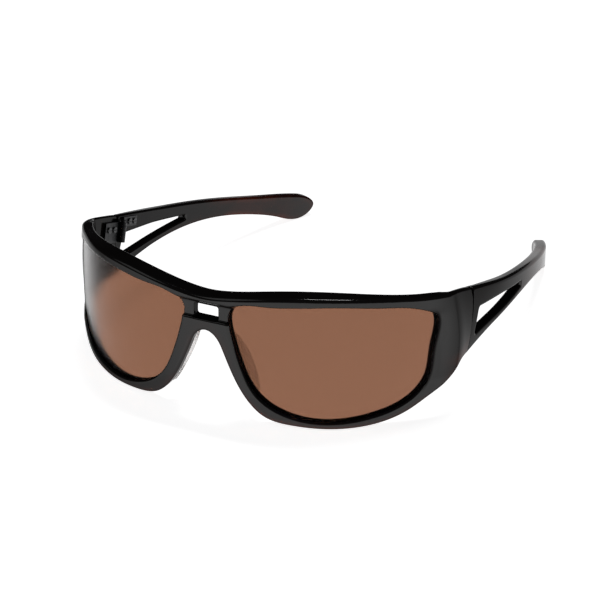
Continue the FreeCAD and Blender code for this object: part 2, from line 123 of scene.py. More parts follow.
# The temple's edges, behind the hinge line and up, and its opening's corners with their radii.
TEMPLE_TOP = (
    (-6.0, 37.9), (2.0, 36.0), (14.0, 32.9), (30.0, 28.8), (50.0, 24.1), (70.0, 19.1),
    (90.0, 13.8), (106.0, 9.8),
)
TEMPLE_TIP = ((111.8, 7.2), (113.5, 4.6), (111.6, 1.6), (106.0, 0.0))
TEMPLE_BOTTOM = (
    (97.0, 3.1), (82.0, 8.8), (66.0, 13.2), (48.0, 16.1), (26.0, 17.0), (10.0, 16.4),
    (-6.0, 14.8),
)
TEMPLE_WINDOW = ((4.4, 28.2, 1.6), (24.5, 24.9, 60.0), (52.5, 19.3, 0.8), (0.2, 20.0, 1.4))

# ---------------------------------------------------------------- curves and distances


def smooth_curve(points, closed=False, spacing=0.4):
    """Points along the smooth curve that runs through the given ones."""
    knots = np.array(points, float)
    if closed:
        knots = np.vstack([knots, knots[:1]])
    steps = np.linalg.norm(np.diff(knots, axis=0), axis=1)
    at = np.concatenate([[0.0], np.cumsum(steps)])
    count = len(at)
    matrix = np.zeros((count, count))
    right = np.zeros((count, 2))
    slopes = np.diff(knots, axis=0) / steps[:, None]
    for i in range(1, count - 1):
        matrix[i, i - 1 : i + 2] = steps[i - 1], 2 * (steps[i - 1] + steps[i]), steps[i]
        right[i] = 6 * (slopes[i] - slopes[i - 1])
    matrix[0, 0] = 1
    if closed:
        matrix[0, -1] = -1
        matrix[-1, 0] += 2 * steps[0]
        matrix[-1, 1] += steps[0]
        matrix[-1, -2] += steps[-1]
        matrix[-1, -1] += 2 * steps[-1]
        right[-1] = 6 * (slopes[0] - slopes[-1])
    else:
        matrix[-1, -1] = 1
    bends = np.linalg.solve(matrix, right)
    places = np.linspace(0, at[-1], max(8, int(at[-1] / spacing)))
    i = np.clip(np.searchsorted(at, places, side="right") - 1, 0, count - 2)
    length = steps[i][:, None]
    b = (places - at[i])[:, None] / length
    a = 1 - b
    bulge = ((a**3 - a) * bends[i] + (b**3 - b) * bends[i + 1]) * length**2 / 6
    curve = a * knots[i] + b * knots[i + 1] + bulge
    return curve[:-1] if closed else curve


def rounded_outline(corners, arc_steps=10):
    """A closed outline of straight edges, each corner an arc of its own radius."""
    outline = []
    for i, (across, up, radius) in enumerate(corners):
        corner = np.array((across, up))
        before = np.array(corners[i - 1][:2]) - corner
        after = np.array(corners[(i + 1) % len(corners)][:2]) - corner
        before /= np.linalg.norm(before)
        after /= np.linalg.norm(after)
        half = math.acos(float(before @ after)) / 2
        tangent = radius / math.tan(half)
        inward = (before + after) / np.linalg.norm(before + after)
        middle = corner + inward * radius / math.sin(half)
        start = corner + before * tangent - middle
        end = corner + after * tangent - middle
        for share in np.linspace(0, 1, arc_steps):
            spoke = start * (1 - share) + end * share
            outline.append(middle + spoke / np.linalg.norm(spoke) * radius)
    return np.array(outline)


def distance_map(outline, across, up):
    """Signed distance from a closed outline on a grid, negative inside."""
    gx, gy = np.meshgrid(across, up, indexing="ij")
    nearest = np.full(gx.shape, 1e9)
    inside = np.zeros(gx.shape, bool)
    following = np.roll(outline, -1, axis=0)
    for (ax, ay), (bx, by) in zip(outline, following):
        ex, ey = bx - ax, by - ay
        px, py = gx - ax, gy - ay
        share = np.clip((px * ex + py * ey) / (ex * ex + ey * ey + 1e-12), 0, 1)
        nearest = np.minimum(nearest, (px - share * ex) ** 2 + (py - share * ey) ** 2)
        if ay != by:
            crosses = (ay > gy) != (by > gy)
            inside ^= crosses & (px < (gy - ay) * ex / ey)
    return np.where(inside, -1, 1) * np.sqrt(nearest)


class Chart:
    """Values on a grid, read anywhere between its points."""

    def __init__(self, values, across, up):
        self.values = values
        self.start = across[0], up[0]
        self.step = across[1] - across[0], up[1] - up[0]

    def __call__(self, across, up):
        i, j = ((p - s) / d for p, s, d in zip((across, up), self.start, self.step))
        rows, columns = self.values.shape
        i = np.clip(i, 0, rows - 1.001)
        j = np.clip(j, 0, columns - 1.001)
        a, b = i.astype(int), j.astype(int)
        i, j = i - a, j - b
        v = self.values
        low = v[a, b] * (1 - i) + v[a + 1, b] * i
        high = v[a, b + 1] * (1 - i) + v[a + 1, b + 1] * i
        return low * (1 - j) + high * j


def step_up(low, high, value):
    share = np.clip((value - low) / (high - low), 0, 1)
    return share * share * (3 - 2 * share)


def both(x, y, radius):
    """Where two solids overlap, the edge between them rounded."""
    corner = np.hypot(np.maximum(x + radius, 0), np.maximum(y + radius, 0))
    return np.minimum(np.maximum(x, y), -radius) + corner


def either(x, y, radius):
    """Two solids joined, the inner corner between them rounded."""
    return -both(-x, -y, radius)


# ---------------------------------------------------------------- from a field to a mesh


def surface_net(field, axes):
    """Vertices and quads of the surface where a field on a grid changes sign."""
    inside = field < 0
    shape = np.array(field.shape) - 1
    count = np.zeros(shape, np.int8)
    for corner in np.ndindex(2, 2, 2):
        window = tuple(slice(c, c + n) for c, n in zip(corner, shape))
        count += inside[window]
    cells = np.argwhere((count > 0) & (count < 8))
    index = np.full(shape, -1)
    index[tuple(cells.T)] = np.arange(len(cells))
    total = np.zeros((len(cells), 3))
    number = np.zeros(len(cells))
    quads = []
    for axis in range(3):
        one, two = (axis + 1) % 3, (axis + 2) % 3
        ahead = np.eye(3, dtype=int)[axis]
        for side_one, side_two in ((0, 0), (0, 1), (1, 0), (1, 1)):
            near = cells.copy()
            near[:, one] += side_one
            near[:, two] += side_two
            here = field[tuple(near.T)]
            there = field[tuple((near + ahead).T)]
            crossed = (here < 0) != (there < 0)
            share = here[crossed] / (here[crossed] - there[crossed])
            total[crossed] += near[crossed] + share[:, None] * ahead
            number[crossed] += 1
        low = [slice(1, n) for n in shape]
        low[axis] = slice(0, shape[axis])
        high = list(low)
        high[axis] = slice(1, shape[axis] + 1)
        changed = inside[tuple(low)] != inside[tuple(high)]
        edges = np.argwhere(changed) + np.array([s.start for s in low])
        ring = []
        for back_one, back_two in ((0, 0), (1, 0), (1, 1), (0, 1)):
            cell = edges.copy()
            cell[:, one] -= back_one
            cell[:, two] -= back_two
            ring.append(index[tuple(cell.T)])
        ring = np.stack(ring, axis=1)
        flipped = inside[tuple(edges.T)]
        ring[~flipped] = ring[~flipped][:, ::-1]
        quads.append(ring)
    places = total / number[:, None]
    vertices = np.stack(
        [axis[0] + places[:, k] * (axis[1] - axis[0]) for k, axis in enumerate(axes)], axis=1
    )
    return vertices, np.vstack(quads)


def settle(vertices, field, rounds=4, probe=0.03):
    """Moves the vertices onto the field's own surface."""
    for _ in range(rounds):
        here = field(vertices)
        slope = np.zeros_like(vertices)
        for axis in range(3):
            ahead = vertices.copy()
            behind = vertices.copy()
            ahead[:, axis] += probe
            behind[:, axis] -= probe
            slope[:, axis] = (field(ahead) - field(behind)) / (2 * probe)
        move = here[:, None] * slope / np.maximum((slope**2).sum(1), 0.3)[:, None]
        size = np.linalg.norm(move, axis=1)[:, None]
        vertices = vertices - move * np.minimum(1, 0.25 / np.maximum(size, 1e-9))
    return vertices


def add_mesh(name, points, faces, smooth=True):
    """A mesh object from points in millimetres."""
    mesh = bpy.data.meshes.new(name)
    points = np.asarray(points, np.float32) * MM
    faces = [tuple(int(v) for v in face) for face in faces]
    mesh.from_pydata(points.tolist(), [], faces)
    mesh.update()
    if smooth:
        mesh.polygons.foreach_set("use_smooth", [True] * len(mesh.polygons))
    piece = bpy.data.objects.new(name, mesh)
    bpy.context.scene.collection.objects.link(piece)
    return piece


def add_values(piece, name, values):
    """A number at each vertex, for the materials to read."""
    attribute = piece.data.attributes.new(name, "FLOAT", "POINT")
    attribute.data.foreach_set("value", np.asarray(values, np.float32))


def mirrored(points, faces):
    """The same mesh on the other side of the wearer's nose."""
    return points * np.array((-1, 1, 1)), np.asarray(faces)[:, ::-1]


# ---------------------------------------------------------------- the front's curved chart

# How sharply the front's plan curve turns, against distance from the middle.
PLAN_AT = (0.0, 9.13, 9.15, 75.6, 77.6, 80.0, 90.0, 91.0, 106.0)
PLAN_BEND = (0.0, 0.0, 1 / LENS_RADIUS, 1 / LENS_RADIUS, 0.083, 0.083, -0.009, -0.009, -0.003)
PLAN_STEP = 0.02

plan_along = np.arange(0, PLAN_AT[-1], PLAN_STEP)
plan_heading = np.cumsum(np.interp(plan_along, PLAN_AT, PLAN_BEND)) * PLAN_STEP
plan_x = np.cumsum(np.cos(plan_heading)) * PLAN_STEP
plan_y = np.cumsum(np.sin(plan_heading)) * PLAN_STEP - LENS_RADIUS


def sag(height):
    """How far the lens's upright curve falls back from its middle line."""
    return LENS_RADIUS_UPRIGHT - np.sqrt(LENS_RADIUS_UPRIGHT**2 - height**2)


def on_front(along, height, out):
    """Place of a point of the front's chart: along its curve, up it, and out of it."""
    side = np.sign(along)
    distance = np.abs(along)
    heading = np.interp(distance, plan_along, plan_heading)
    out = out - sag(height)
    x = (np.interp(distance, plan_along, plan_x) + np.sin(heading) * out) * side
    depth = np.interp(distance, plan_along, plan_y) - np.cos(heading) * out
    y = HINGE_LINE + LENS_CENTRE[1] + math.cos(LEAN) * depth - math.sin(LEAN) * height
    z = LENS_CENTRE[2] + math.sin(LEAN) * depth + math.cos(LEAN) * height
    return np.stack(np.broadcast_arrays(x, y, z), axis=-1)


# Where the search for a chart place starts: how much farther along, and how much lower.
FARTHER = 24.0
LOWER = 7.0


def chart_place(across, up):
    """Chart coordinates of a point drawn across the lens's axis."""
    guess = np.array((max(across + FARTHER, 1.0), up - LOWER))
    goal = np.array((across, up))

    def drawn(place):
        x, y, z = on_front(place[0], place[1], 0.0)
        return np.array((x * math.cos(WRAP) + (y - HINGE_LINE) * math.sin(WRAP), z))

    probe = 0.01
    for _ in range(30):
        here = drawn(guess)
        steps = ((probe, 0), (0, probe))
        slope = np.stack([(drawn(guess + np.array(d)) - here) / probe for d in steps], axis=1)
        guess = guess + np.clip(np.linalg.solve(slope, goal - here), -6, 6)
        guess[0] = np.clip(guess[0], 0.5, 100)
    return guess


def chart_height(along, up):
    """Chart height of a point at a distance along the front and a height above the floor."""
    height = up - LOWER
    for _ in range(20):
        height += up - on_front(float(along), height, 2.0)[2]
    return height


# ---------------------------------------------------------------- front frame

lens_points = [
    chart_place(LENS_NASAL + across * LENS_WIDTH, LENS_BOTTOM + up * LENS_HEIGHT)
    for across, up in LENS_OUTLINE
]
lens_outline = smooth_curve(lens_points, closed=True)

lower_half = [chart_place(*p) for p in LOWER_EDGE]
lower_half += [(along, chart_height(along, up)) for along, up in END_BOTTOM]
upper_half = [(along, chart_height(along, up)) for along, up in END_TOP]
upper_half += [chart_place(*p) for p in UPPER_EDGE]
flip = np.array((-1, 1))
lower_knots = [p * flip for p in np.array(lower_half)[2::-1]]
lower_knots += [(0, chart_height(0, ARCH_TOP))] + lower_half
upper_knots = upper_half + [(0, chart_height(0, BROW_TOP))]
upper_knots += [p * flip for p in np.array(upper_half)[:-5:-1]]
front_outline = np.vstack([smooth_curve(lower_knots), smooth_curve(upper_knots)])

STEP = 0.3
along_axis = np.arange(0.0, 99.0, STEP)
height_axis = np.arange(-6.0, 43.0, STEP)
out_axis = np.arange(-4.2, 4.5, STEP)

outline_map = Chart(distance_map(front_outline, along_axis, height_axis), along_axis, height_axis)
lens_map = Chart(distance_map(lens_outline, along_axis, height_axis), along_axis, height_axis)

NOSE_BAR_TOP = 29.7
WEB_WIDE = 13.0
WINDOW_HALF = 4.25
WINDOW_HEIGHTS = (29.6, 34.1)
WINDOW_CORNER = 0.7

# The brow's lower edge, as distance along the front's curve and height.
BROW_LINE_AT = (0.0, 9.0, 14.0, 30.0, 50.0, 66.0, 76.0, 90.0)
BROW_LINE = (34.9, 35.0, 36.2, 37.2, 36.0, 33.0, 31.0, 28.0)

# Where one surface of the front turns into the next: the start and the end of each change,
# along the front's curve or up it.
BROW_EDGE = (-0.6, 2.0)
BROW_SOFTER = (62.0, 74.0)
BROW_SOFTER_BY = 2.2
BROW_THINNER = (36.0, 68.0)
RIM_THINNER = (50.0, 70.0)
END_PIECE = (76.5, 84.5)
END_WALL = (81.0, 86.0)
MOAT_ALONG = (66.0, 73.0)
MOAT_LOW = (3.0, 8.0)
MOAT_HIGH = (33.0, 29.0)
SLIM_BACK = (1.0, -4.0)
LIP_TO_BACK = (-1.6, -0.8)

# The end piece's face is crowned: it falls back by this much, this far from its middle.
CROWN_MIDDLE = 20.0
CROWN_REACH = 11.0
CROWN_DROP = 0.9

OUTER_RADIUS = 1.15
BACK_RADIUS = 0.7
WINDOW_RADIUS = 0.4
SEAM_RADIUS = 0.2
NOSE_BAR_RADIUS = 0.8
WEB_RADIUS = 0.25


def window_distance(along, height):
    middle = sum(WINDOW_HEIGHTS) / 2
    tall = (WINDOW_HEIGHTS[1] - WINDOW_HEIGHTS[0]) / 2
    x = np.abs(along) - WINDOW_HALF + WINDOW_CORNER
    y = np.abs(height - middle) - tall + WINDOW_CORNER
    rounded = np.hypot(np.maximum(x, 0), np.maximum(y, 0))
    return np.minimum(np.maximum(x, y), 0) + rounded - WINDOW_CORNER


def moat_share(side, height):
    """Where the rim drops level with the lens's face, beside its outer edge."""
    return step_up(*MOAT_ALONG, side) * step_up(*MOAT_LOW, height) * step_up(*MOAT_HIGH, height)


def end_crown(height):
    return CROWN_DROP * ((height - CROWN_MIDDLE) / CROWN_REACH) ** 2


def front_face(side, height, above, out):
    """Distance in front of the frame's face: brow, rim, moat, end piece, web and nose bar."""
    spread = BROW_SOFTER_BY * step_up(*BROW_SOFTER, side)
    brow = step_up(BROW_EDGE[0] - spread, BROW_EDGE[1] + spread, above)
    end = step_up(*END_PIECE, side)
    corner_brow = BROW_FRONT + (BROW_FRONT_CORNER - BROW_FRONT) * step_up(*BROW_THINNER, side)
    moat = moat_share(side, height)
    rim = RIM_FRONT + (RIM_FRONT_CORNER - RIM_FRONT) * step_up(*RIM_THINNER, side)
    rim = rim * (1 - moat) + MOAT_FRONT * moat
    rim = rim + (corner_brow - rim) * brow
    rim = rim * (1 - end) + (END_FRONT - end_crown(height)) * end
    web = WEB_FRONT + (BROW_FRONT - WEB_FRONT) * brow
    nose_bar = both(out - RIM_FRONT, height - NOSE_BAR_TOP, NOSE_BAR_RADIUS)
    recessed = either(out - web, nose_bar, WEB_RADIUS)
    return np.where(side < WEB_WIDE, recessed, out - rim)


def front_depth(side, height, above):
    """How deep the frame is behind the lens's face."""
    heading = np.interp(side, plan_along, plan_heading)
    wall = (np.interp(side, plan_along, plan_x) - INNER_WALL) / np.maximum(np.sin(heading), 0.3)
    wall = wall - sag(height)
    back = RIM_BACK + (RIM_BACK_LOW - RIM_BACK) * step_up(*SLIM_BACK, above)
    return back + (np.minimum(RIM_BACK, wall) - back) * step_up(*END_WALL, side)


def front_field(along, height, out):
    """Negative inside the front frame."""
    side = np.abs(along)
    above = height - np.interp(side, BROW_LINE_AT, BROW_LINE)
    solid = both(outline_map(side, height), front_face(side, height, above, out), OUTER_RADIUS)
    solid = both(solid, -front_depth(side, height, above) - out, BACK_RADIUS)
    lens = lens_map(side, height)
    flare = np.clip(BACK_LIP_SLOPE * (-out - BACK_LIP_FROM), 0, BACK_LIP_FLARE)
    opening = LIP_SLOPE * np.maximum(out, 0) + flare
    lip = BACK_LIP_RADIUS + (LIP_RADIUS - BACK_LIP_RADIUS) * step_up(*LIP_TO_BACK, out)
    solid = both(solid, opening - lens, lip)
    solid = both(solid, -window_distance(along, height), WINDOW_RADIUS)
    place = on_front(side, height, out)
    solid = both(solid, seam_distance(place) + HALF_GAP, SEAM_RADIUS)
    groove = np.maximum(lens - GROOVE, np.abs(out + GROOVE_HALF) - GROOVE_HALF)
    return np.maximum(solid, -groove)


def seam_distance(place):
    """Distance behind the middle of the seam between front and temple."""
    back = place[..., 1] - HINGE_LINE - PIN[1]
    up = place[..., 2] - PIN[2]
    return math.cos(HINGE_LEAN) * back - math.sin(HINGE_LEAN) * up - SEAM


def front_at(points):
    return front_field(points[:, 0], points[:, 1], points[:, 2])


# Where the front's painted shade ends: the band beside the lens, and the lens's seat.
BAND_EDGE = (2.0, 1.0)
SEAT_EDGE = (0.9, 0.5)
SEAT_DEPTH = (0.3, -0.3)


def front_tone_and_glow(side, height):
    """Where the nylon is painted redder: its own red-brown tone where it is thin, and a painted
    glow of light shining through from behind, at the low rims, nose arch and lower end pieces.
    """
    edge = -outline_map(side, height)
    low = step_up(12.0, 2.0, height) * step_up(2.6, 0.4, edge)
    arch = step_up(13.0, 3.0, side) * step_up(4.5, 0.3, edge) * step_up(32.0, 27.0, height)
    tip = step_up(76.0, 86.0, side) * step_up(16.0, 8.0, height)
    return np.clip(0.55 * low + 0.5 * arch + 0.9 * tip, 0, 1)


def build_front():
    """One moulding: its field is worked out on one side of the nose and mirrored."""
    whole = np.concatenate([-along_axis[:0:-1], along_axis])
    grid = np.meshgrid(whole, height_axis, out_axis, indexing="ij")
    half = front_field(*(g[len(along_axis) - 1 :] for g in grid))
    field = np.concatenate([half[:0:-1], half])
    vertices, quads = surface_net(field, (whole, height_axis, out_axis))
    vertices = settle(vertices, front_at)
    piece = add_mesh("front_frame_shell", on_front(*vertices.T), quads)
    side, height, out = np.abs(vertices[:, 0]), vertices[:, 1], vertices[:, 2]
    lens = lens_map(side, height)
    add_values(piece, "tone_and_glow", front_tone_and_glow(side, height))
    # Painted shade: the band beside the lens and the lens's seat are marked so the nylon's
    # reflection is turned down there and they read dark.
    band = moat_share(side, height) * step_up(*BAND_EDGE, lens)
    seat = step_up(*SEAT_EDGE, lens) * step_up(*SEAT_DEPTH, out)
    add_values(piece, "painted_shade", np.maximum(band, seat))
    return piece


# ---------------------------------------------------------------- temples

side_knots = TEMPLE_TOP + TEMPLE_TIP + TEMPLE_BOTTOM
temple_outline = smooth_curve(side_knots)
back_axis = np.arange(-7.0, 116.0, STEP)
level_axis = np.arange(-2.0, 42.0, STEP)
depth_axis = np.arange(-1.2, 6.0, STEP)
side_map = Chart(distance_map(temple_outline, back_axis, level_axis), back_axis, level_axis)
opening_distance = distance_map(rounded_outline(TEMPLE_WINDOW), back_axis, level_axis)
opening_map = Chart(opening_distance, back_axis, level_axis)

SEAM_ALONG = 93.6
SEAM_DROP = 7.3
FLUSH_OVER = (34.0, 2.0)
TEMPLE_OUTER_RADIUS = 1.25
TEMPLE_INNER_RADIUS = 1.0
TEMPLE_WINDOW_RADIUS = 0.9


def seam_outer(level):
    """How far the end piece's outer face is from the temple's straight one, at the seam."""
    height = level - SEAM_DROP
    place = on_front(np.full_like(height, SEAM_ALONG), height, END_FRONT - end_crown(height))
    return place[..., 0] - OUTER_WALL


def temple_plan(back):
    """X of the temple's outer face, and its slope."""
    length = TEMPLE_REACH + 2 - BEND_START
    share = np.clip(back - BEND_START, 0, None) / length
    curled = np.clip((share - CURL_START) / (1 - CURL_START), 0, None)
    x = OUTER_WALL - TIP_INSET * share**BEND_POWER - TIP_CURL * curled**2
    slope = -TIP_INSET * BEND_POWER * share ** (BEND_POWER - 1) / length
    slope -= 2 * TIP_CURL * curled / (1 - CURL_START) / length
    return x, slope


def on_temple(back, level, depth):
    """Place of a point behind the hinge line, up, and in from the left temple's outer face."""
    x, slope = temple_plan(back)
    stretch = np.sqrt(1 + slope**2)
    y = HINGE_LINE + back + slope * depth / stretch
    return np.stack([x - depth / stretch, y, level + 0 * back], axis=-1)


def temple_field(back, level, depth):
    """Negative inside the left temple."""
    edge = side_map(back, level)
    opening = opening_map(back, level)
    flush = seam_outer(level) * step_up(*FLUSH_OVER, back)
    share = np.clip((back - BEND_START) / (TEMPLE_REACH - BEND_START), 0, 1)
    thickness = TEMPLE_THICKNESS + share * (TIP_THICKNESS - TEMPLE_THICKNESS)
    solid = both(edge, -depth - flush, TEMPLE_OUTER_RADIUS)
    solid = both(solid, depth - thickness, TEMPLE_INNER_RADIUS)
    solid = both(solid, -opening, TEMPLE_WINDOW_RADIUS)
    return both(solid, HALF_GAP - seam_distance(on_temple(back, level, depth)), SEAM_RADIUS)


def temple_at(points):
    return temple_field(points[:, 0], points[:, 1], points[:, 2])


def temple_tone_and_glow(back, level):
    """The nylon is painted redder towards the tips and along the lower edge: partly its own
    tortoise tone, partly a painted glow of light through the thin edge.
    """
    edge = -side_map(back, level)
    rear = step_up(30.0, 100.0, back)
    under = step_up(2.4, 0.3, edge) * step_up(26.0, 16.0, level)
    return np.clip(0.45 * rear + 0.6 * under * (0.4 + rear), 0, 1)


def build_temples():
    """The left temple from its field, and the right one as its mirror image."""
    grid = np.meshgrid(back_axis, level_axis, depth_axis, indexing="ij")
    vertices, quads = surface_net(temple_field(*grid), (back_axis, level_axis, depth_axis))
    vertices = settle(vertices, temple_at)
    points = on_temple(*vertices.T)
    quads = quads[:, ::-1]
    tone_and_glow = temple_tone_and_glow(vertices[:, 0], vertices[:, 1])
    for side in SIDES:
        mesh = (points, quads) if side == "left" else mirrored(points, quads)
        piece = add_mesh(side + "_temple_shell", *mesh)
        add_values(piece, "tone_and_glow", tone_and_glow)
        finish_piece(piece, side + "_temple_arm", [side + "_temple"], nylon)


# ---------------------------------------------------------------- lenses

LENS_RINGS = 26
SHARP_EDGE = math.radians(40)


def build_lenses():
    """Each layer is two curved faces and the wall between them, pressed into the groove."""
    tangent = np.roll(lens_outline, -1, axis=0) - np.roll(lens_outline, 1, axis=0)
    normal = np.stack([tangent[:, 1], -tangent[:, 0]], axis=1)
    normal /= np.linalg.norm(normal, axis=1)[:, None]
    middle = lens_outline.mean(0)
    if ((lens_outline - middle) * normal).sum() < 0:
        normal = -normal
    rim = (lens_outline + normal * (GROOVE + LENS_BITE))[::2]
    spokes = len(rim)
    shares = np.linspace(0, 1, LENS_RINGS + 1)[1:]
    chart = np.vstack([middle[None]] + [middle + (rim - middle) * share for share in shares])

    def ring_index(ring, spoke):
        return 1 + ring * spokes + spoke % spokes

    faces = []
    for spoke in range(spokes):
        faces.append((0, ring_index(0, spoke + 1), ring_index(0, spoke)))
        for ring in range(LENS_RINGS - 1):
            faces.append((
                ring_index(ring, spoke), ring_index(ring, spoke + 1),
                ring_index(ring + 1, spoke + 1), ring_index(ring + 1, spoke),
            ))
    step = len(chart)
    last = LENS_RINGS - 1
    wall = [
        (ring_index(last, s), ring_index(last, s + 1),
         ring_index(last, s + 1) + step, ring_index(last, s) + step)
        for s in range(spokes)
    ]
    other = [tuple(v + step for v in reversed(face)) for face in faces]
    for layer, (front, back) in LENS_LAYERS.items():
        points = np.vstack([on_front(chart[:, 0], chart[:, 1], out) for out in (front, back)])
        for side, sign in SIDES.items():
            placed = points * np.array((sign, 1, 1))
            piece = add_mesh(f"{side}_{layer}_shell", placed, faces + other + wall)
            fix_normals(piece)
            mark_edges(piece)
            slot, make = LENS_FINISH[layer]
            finish_piece(piece, "front", [f"{side}_{layer}"], make)


def fix_normals(piece):
    work = bmesh.new()
    work.from_mesh(piece.data)
    bmesh.ops.recalc_face_normals(work, faces=work.faces)
    work.to_mesh(piece.data)
    work.free()


def mark_edges(piece):
    """The lens's edge wall meets its faces sharply."""
    piece.data.set_sharp_from_angle(angle=SHARP_EDGE)


# ---------------------------------------------------------------- nose pads

PAD_HALF = 12.5
PAD_DEPTH = 4.8
PAD_THICKNESS = 2.0
PAD_CROWN = 1.3
PAD_ROOT = -1.4
PAD_END = 0.7
PAD_STEP = 0.22
PAD_RADIUS = 0.8
PAD_SPLAY = math.radians(6.0)
PAD_SLANT = math.radians(25.0)
PAD_MIDDLE = (10.7, 18.0)


def build_pads():
    """Soft D-shaped pads behind the nasal rims, thicker where they meet the nose."""
    along = np.array((math.sin(PAD_SLANT), 0, -math.cos(PAD_SLANT)))
    back = np.array((math.sin(PAD_SPLAY), math.cos(PAD_SPLAY), 0))
    normal = np.cross(along, back)
    normal /= np.linalg.norm(normal)
    back = np.cross(normal, along)
    rear = HINGE_LINE + LENS_CENTRE[1] - LENS_RADIUS + RIM_BACK
    centre = np.array((PAD_MIDDLE[0], rear, PAD_MIDDLE[1]))
    knots = (
        (-PAD_HALF, PAD_ROOT), (-PAD_HALF, PAD_END),
        (-0.85 * PAD_HALF, 2.0), (-0.45 * PAD_HALF, 4.0), (0, PAD_DEPTH),
        (0.45 * PAD_HALF, 4.0), (0.85 * PAD_HALF, 2.0),
        (PAD_HALF, PAD_END), (PAD_HALF, PAD_ROOT),
    )
    a_axis = np.arange(-PAD_HALF - 1.0, PAD_HALF + 1.0, PAD_STEP)
    b_axis = np.arange(PAD_ROOT - 1.0, PAD_DEPTH + 1.0, PAD_STEP)
    n_axis = np.arange(-PAD_CROWN - 2.0, 1.9, PAD_STEP)
    plan = Chart(distance_map(smooth_curve(knots), a_axis, b_axis), a_axis, b_axis)

    def pad_field(a, b, n):
        edge = plan(a, b)
        half = PAD_THICKNESS / 2 * (0.8 + 0.2 * step_up(0.0, 5.0, -edge))
        crown = PAD_CROWN * step_up(0.0, 2.2, -edge)
        return both(edge, np.maximum(n, -n - crown) - half, PAD_RADIUS)

    grid = np.meshgrid(a_axis, b_axis, n_axis, indexing="ij")
    vertices, quads = surface_net(pad_field(*grid), (a_axis, b_axis, n_axis))
    vertices = settle(vertices, lambda p: pad_field(p[:, 0], p[:, 1], p[:, 2]))
    points = centre + vertices @ np.stack([along, back, normal])
    for side in SIDES:
        mesh = (points, quads) if side == "left" else mirrored(points, quads)
        piece = add_mesh(side + "_nose_pad_soft", *mesh)
        finish_piece(piece, "front", [side + "_nose_pad"], pad_rubber)


# ---------------------------------------------------------------- materials


class Finish:
    """A node material and the few steps that its makers share."""

    def __init__(self, name):
        self.material = bpy.data.materials.new(name)
        self.material.use_nodes = True
        self.tree = self.material.node_tree
        self.shader = self.tree.nodes["Principled BSDF"]
        self.place = self.tree.nodes.new("ShaderNodeTexCoord").outputs["Object"]

    def set(self, **values):
        for key, value in values.items():
            self.shader.inputs[key.replace("_", " ")].default_value = value

    def node(self, kind, links=None, **values):
        made = self.tree.nodes.new(kind)
        for key, value in values.items():
            setattr(made, key, value)
        for socket, source in (links or {}).items():
            if hasattr(source, "node"):
                self.tree.links.new(source, made.inputs[socket])
            else:
                made.inputs[socket].default_value = source
        return made

    def noise(self, scale, detail=3.0, roughness=0.5, stretch=None):
        place = self.place
        if stretch:
            place = self.node("ShaderNodeMapping", {"Vector": place, "Scale": stretch}).outputs[0]
        links = {"Vector": place, "Scale": scale, "Detail": detail, "Roughness": roughness}
        return self.node("ShaderNodeTexNoise", links).outputs["Fac"]

    def mapped(self, value, low, high, to_low, to_high):
        links = {"Value": value, "From Min": low, "From Max": high}
        links.update({"To Min": to_low, "To Max": to_high})
        return self.node("ShaderNodeMapRange", links).outputs[0]

    def maths(self, operation, one, two):
        made = self.node("ShaderNodeMath", {0: one, 1: two}, operation=operation, use_clamp=True)
        return made.outputs[0]

    def mix(self, share, one, two):
        """Blends two colours, which are a colour mix node's sockets 6 and 7."""
        links = {"Factor": share, 6: one, 7: two}
        return self.node("ShaderNodeMix", links, data_type="RGBA").outputs[2]

    def value(self, name):
        return self.node("ShaderNodeAttribute", None, attribute_name=name).outputs["Fac"]

    def calm_edges(self, facing, grazing, start, end):
        """Lets the gloss fade where the surface turns away, as fine moulding texture does."""
        turned = self.node("ShaderNodeLayerWeight", {"Blend": 0.5}).outputs["Facing"]
        self.connect("IOR", self.mapped(turned, start, end, facing, grazing))

    def connect(self, socket, source):
        self.tree.links.new(source, self.shader.inputs[socket])

    def bump(self, height, strength, distance):
        links = {"Height": height, "Strength": strength, "Distance": distance}
        self.connect("Normal", self.node("ShaderNodeBump", links).outputs[0])


def nylon_material():
    """Polished near-black tortoise nylon, painted reddish brown where it is thin: partly its own
    tone, partly a painted glow of light shining through.
    """
    m = Finish("tortoise_nylon")
    m.calm_edges(1.47, 1.07, 0.2, 0.58)
    clouds = m.noise(55.0, 4.0, 0.55, (1.0, 0.6, 1.3))
    tone_and_glow = m.value("tone_and_glow")
    patch = m.mapped(clouds, 0.42, 0.64, 0.0, 1.0)
    amount = m.maths("MULTIPLY", tone_and_glow, m.maths("ADD", patch, 0.12))
    dark = m.mix(clouds, (0.003, 0.0025, 0.0025, 1), (0.007, 0.0055, 0.005, 1))
    # Painted glow: the base colour turns red-brown where the pieces are marked, partly the nylon's
    # own tone and partly light shining through thin places.
    m.connect("Base Color", m.mix(amount, dark, (0.07, 0.013, 0.006, 1)))
    # Painted shade: the nylon's reflection is turned down where the front is marked as shaded, so
    # the band beside the lens and the lens's seat read dark.
    m.connect("Specular IOR Level", m.mapped(m.value("painted_shade"), 0.0, 1.0, 0.5, 0.06))
    smear = m.noise(130.0, 4.0, 0.6)
    m.connect("Roughness", m.mapped(smear, 0.3, 0.75, 0.07, 0.15))
    m.bump(m.noise(420.0, 2.0), 0.08, 0.00003)
    return m.material


def lens_hard_coat():
    """Clear outer layer with a soft gloss and faint wipe marks."""
    m = Finish("lens_hard_coat")
    m.set(IOR=1.065, Transmission_Weight=1.0, Roughness=0.28)
    smear = m.noise(60.0, 5.0, 0.6, (1.0, 1.0, 2.4))
    m.connect("Base Color", m.mix(smear, (1.0, 1.0, 1.0, 1), (0.99, 0.985, 0.98, 1)))
    return m.material


